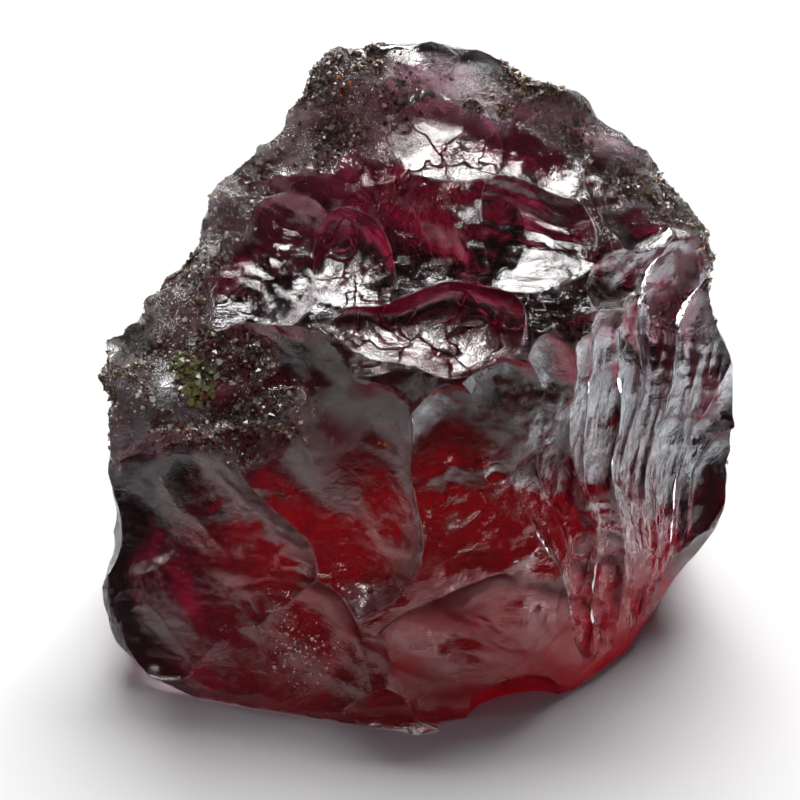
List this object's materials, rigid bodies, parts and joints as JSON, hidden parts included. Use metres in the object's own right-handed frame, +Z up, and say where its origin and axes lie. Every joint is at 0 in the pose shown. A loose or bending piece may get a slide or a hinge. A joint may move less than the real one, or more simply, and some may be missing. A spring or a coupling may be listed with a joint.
{
  "type": "garnet crystal",
  "caption": "Rough see-through red garnet crystal fragment with shell-shaped fracture scars and a fluted right side, resting on a flat broken base.",
  "frame": {"origin": "middle of the flat base that the stone rests on, under the centre of its outer box", "axes": "+Z up from the base, -Y towards the front face with the large shell-shaped scar, +X towards the fluted side"},
  "size_m": [0.019, 0.0154, 0.017],
  "materials": {
    "garnet": "glassy deep red with dull granular weathered patches"
  },
  "bodies": {
    "root": {"garnet_crystal": "garnet"}
  },
  "joints": []
}
